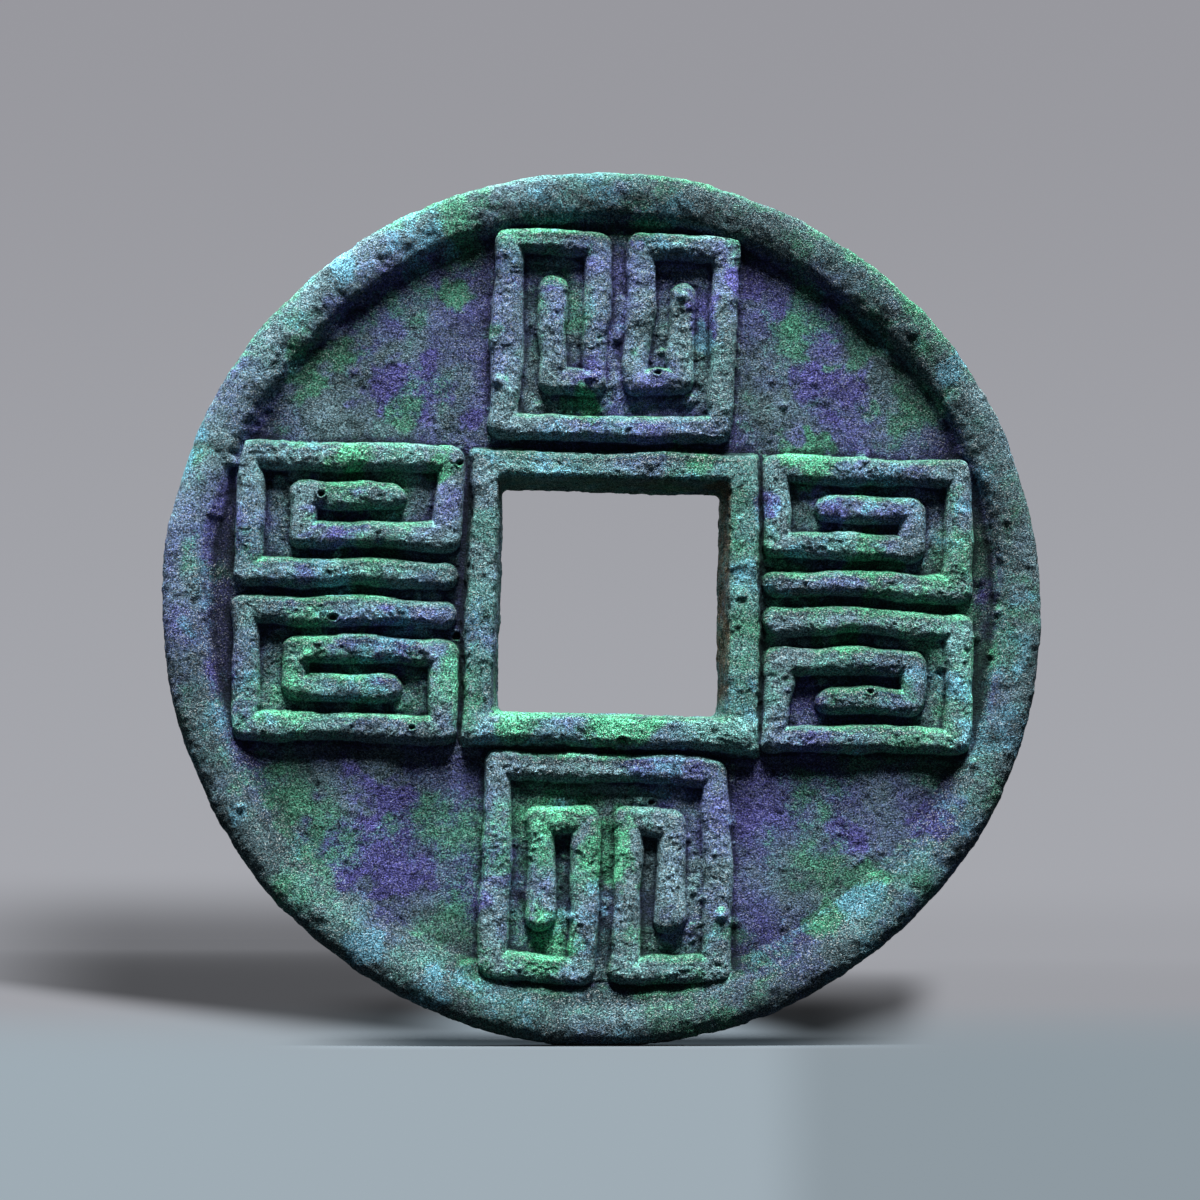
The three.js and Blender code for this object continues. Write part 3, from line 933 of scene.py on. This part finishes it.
class COIN_OT_field(bpy.types.Operator):
    """Builds the sunk plate between the rims"""

    bl_idname = "coin.field"
    bl_label = "Field"

    def execute(self, context):
        build_piece("field", "field_patina", make_field())
        return {"FINISHED"}


class COIN_OT_panels(bpy.types.Operator):
    """Builds the four raised panels of squared spirals"""

    bl_idname = "coin.panels"
    bl_label = "Panels"

    def execute(self, context):
        for name in PANELS:
            build_piece(name, "panel_patina", make_panel(name))
        return {"FINISHED"}


class COIN_OT_stage(bpy.types.Operator):
    """Builds the floor, the backdrop, the lamp and the camera"""

    bl_idname = "coin.stage"
    bl_label = "Stage"

    def execute(self, context):
        settings = context.scene.coin_stage
        make_floor(settings)
        make_world(settings)
        add_lamp("key_lamp", LAMP_PLACE, LAMP_SIZE, settings.key_power)
        add_camera(context.scene)
        context.scene.view_settings.view_transform = "Standard"
        return {"FINISHED"}


def seen_rays(root):
    """One for rays that show the backdrop: from the camera, in a reflection or through glass."""
    rays = root.node("ShaderNodeLightPath", {}, {}, "Is Camera Ray")
    return (rays + rays.other("Is Glossy Ray") + rays.other("Is Transmission Ray")).ramp(0.0, 1.0)


def make_floor(settings):
    """A wide level disc: rings of points round the coin. Under the coin it is matt paper that takes
    its shadow. Elsewhere it is seen in its own colour, which carries a painted soft shade behind and
    beside the coin, and takes on the colour of the backdrop far away."""
    rings, spokes = 25, 64
    radius = np.concatenate([[0.01], np.geomspace(0.05, FLOOR_RADIUS, rings - 1)])[:, None]
    angle = np.linspace(0, 2 * math.pi, spokes, endpoint=False)[None, :]
    points = np.stack([radius * np.cos(angle), radius * np.sin(angle), 0 * radius * angle], axis=-1)
    faces = grid_faces(rings, spokes, False, True).tolist() + [list(range(spokes))]
    mesh = bpy.data.meshes.new("floor")
    mesh.from_pydata(points.reshape(-1, 3).tolist(), [], faces)
    floor = bpy.data.objects.new("floor", mesh)
    bpy.context.scene.collection.objects.link(floor)
    material = bpy.data.materials.new("floor_paper")
    material.use_nodes = True
    tree = material.node_tree
    shader = tree.nodes["Principled BSDF"]
    root = Wire(tree, None)
    place = root.node("ShaderNodeTexCoord", {}, {}, "Object")
    right = root.node("ShaderNodeSeparateXYZ", {}, {0: place}, "X")
    back = right.other("Y")
    side = (right - CAMERA_PLACE[0]) / (back - CAMERA_PLACE[1])
    left_edge = (back + 3.6 * right).ramp(-0.05, 0.0) * side.ramp(-0.21, -0.108)
    right_edge = (back - 4.5 * right).ramp(-0.075, -0.03) * side.ramp(0.172, 0.15)
    hidden = right.ramp(-0.012, -0.003) * right.ramp(0.014, 0.006)
    hidden = hidden * back.ramp(0.2, 0.1) * back.ramp(0.0, 0.012)
    near = 1 - back.ramp(0.05, 0.35) * right.ramp(-0.02, 0.03)
    core = side.ramp(-0.06, 0.0) * side.ramp(0.16, 0.12) * back.ramp(0.14, 0.06)
    depth = (0.55 + 0.23 * back.ramp(1.2, 0.15) + 0.16 * core) * (1 - 0.6 * hidden)
    kept = 1 - depth * left_edge * right_edge * near * back.ramp(-0.004, 0.01)
    dim = 1 - 0.22 * side.ramp(0.1, 0.13) * back.ramp(0.6, 0.1) * back.ramp(-0.115, -0.08)
    paper = (kept * dim * (0.1 + 0.9 * seen_rays(root))).light(settings.floor_colour)
    tree.links.new(paper.socket, shader.inputs["Base Color"])
    shader.inputs["Roughness"].default_value = 0.9
    shader.inputs["Specular IOR Level"].default_value = 0.0
    tint = (0.93 * kept * (1 - 0.3 * (1 - dim))).light(settings.horizon_colour).toward(
        (kept * dim).light(settings.front_colour), back.ramp(0.1, -0.03) * back.ramp(-1.2, -0.25))
    glow = root.node("ShaderNodeEmission", {}, {"Color": tint})
    inner = right.ramp(0.016, 0.007) * right.ramp(-0.016, -0.007)
    inner = inner * back.ramp(-0.006, 0.0) * back.ramp(0.08, 0.03)
    share = (1 - inner) * seen_rays(root)
    mixed = root.node("ShaderNodeMixShader", {}, {0: share, 2: glow})
    tree.links.new(shader.outputs[0], mixed.socket.node.inputs[1])
    tree.links.new(mixed.socket, tree.nodes["Material Output"].inputs["Surface"])
    mesh.materials.append(material)


def make_world(settings):
    """The backdrop as the camera sees it, darker high up and in the shade low down on the left, and
    a weak even light, stronger from behind."""
    world = bpy.data.worlds.new("studio")
    world.use_nodes = True
    tree = world.node_tree
    root = Wire(tree, None)
    way = root.node("ShaderNodeTexCoord", {}, {}, "Generated")
    right = root.node("ShaderNodeSeparateXYZ", {}, {0: way}, "X")
    back, up = right.other("Y"), right.other("Z")
    side = right / back
    left = side.ramp(-0.21, -0.108) * side.ramp(0.12, 0.03) * back.ramp(0.3, 0.8)
    low = (0.93 + 0.07 * up.ramp(0.0, 0.02) - 0.5 * left * up.ramp(0.024, 0.0)).light(settings.horizon_colour)
    seen = low.toward((*settings.sky_colour, 1.0), up.ramp(0.0, 0.33))
    light = (0.03 + 5.0 * back.ramp(0.3, 0.9) * up.ramp(0.0, 0.5)).light((0.85, 0.95, 1.0))
    colour = light.toward(seen, seen_rays(root))
    tree.links.new(colour.socket, tree.nodes["Background"].inputs["Color"])
    bpy.context.scene.world = world


def add_lamp(name, place, size, power):
    """A square soft lamp that faces the middle of the coin."""
    data = bpy.data.lights.new(name, "AREA")
    data.shape = "SQUARE"
    data.size = size
    data.energy = power
    lamp = bpy.data.objects.new(name, data)
    bpy.context.scene.collection.objects.link(lamp)
    lamp.location = place
    aim = Vector((0, 0, CENTRE_HEIGHT * MM)) - Vector(place)
    lamp.rotation_euler = aim.to_track_quat("-Z", "Y").to_euler()


def add_camera(scene):
    """The camera: low in front of the coin and a little left, looking slightly up at its middle."""
    data = bpy.data.cameras.new("camera")
    data.lens = CAMERA_LENS
    data.sensor_width = 36.0
    data.clip_start = 0.01
    data.clip_end = 10.0
    camera = bpy.data.objects.new("camera", data)
    scene.collection.objects.link(camera)
    camera.location = CAMERA_PLACE
    aim = Vector(CAMERA_AIM) - camera.location
    camera.rotation_euler = aim.to_track_quat("-Z", "Y").to_euler()
    scene.camera = camera


class COIN_PT_panel(bpy.types.Panel):
    """Lists the coin's sizes, colours and pieces"""

    bl_label = "Coin"
    bl_space_type = "VIEW_3D"
    bl_region_type = "UI"
    bl_category = "Coin"

    def draw(self, context):
        for group in ("coin_sizes", "coin_colours", "coin_stage"):
            data = getattr(context.scene, group)
            for key in data.__annotations__:
                self.layout.prop(data, key)
        for operator in OPERATORS:
            self.layout.operator(operator.bl_idname)


OPERATORS = (COIN_OT_outer_rim, COIN_OT_hole_rim, COIN_OT_field, COIN_OT_panels, COIN_OT_stage)
CLASSES = (CoinSizes, CoinColours, StageSettings, *OPERATORS, COIN_PT_panel)


def register():
    """Adds the classes and the settings to Blender."""
    for cls in CLASSES:
        bpy.utils.register_class(cls)
    bpy.types.Scene.coin_sizes = bpy.props.PointerProperty(type=CoinSizes)
    bpy.types.Scene.coin_colours = bpy.props.PointerProperty(type=CoinColours)
    bpy.types.Scene.coin_stage = bpy.props.PointerProperty(type=StageSettings)


def unregister():
    """Takes the settings and the classes out again."""
    for group in ("coin_sizes", "coin_colours", "coin_stage"):
        delattr(bpy.types.Scene, group)
    for cls in reversed(CLASSES):
        bpy.utils.unregister_class(cls)


def main():
    """Builds the coin and its stage."""
    register()
    bpy.ops.coin.outer_rim()
    bpy.ops.coin.hole_rim()
    bpy.ops.coin.field()
    bpy.ops.coin.panels()
    bpy.ops.coin.stage()


if __name__ == "__main__":
    main()
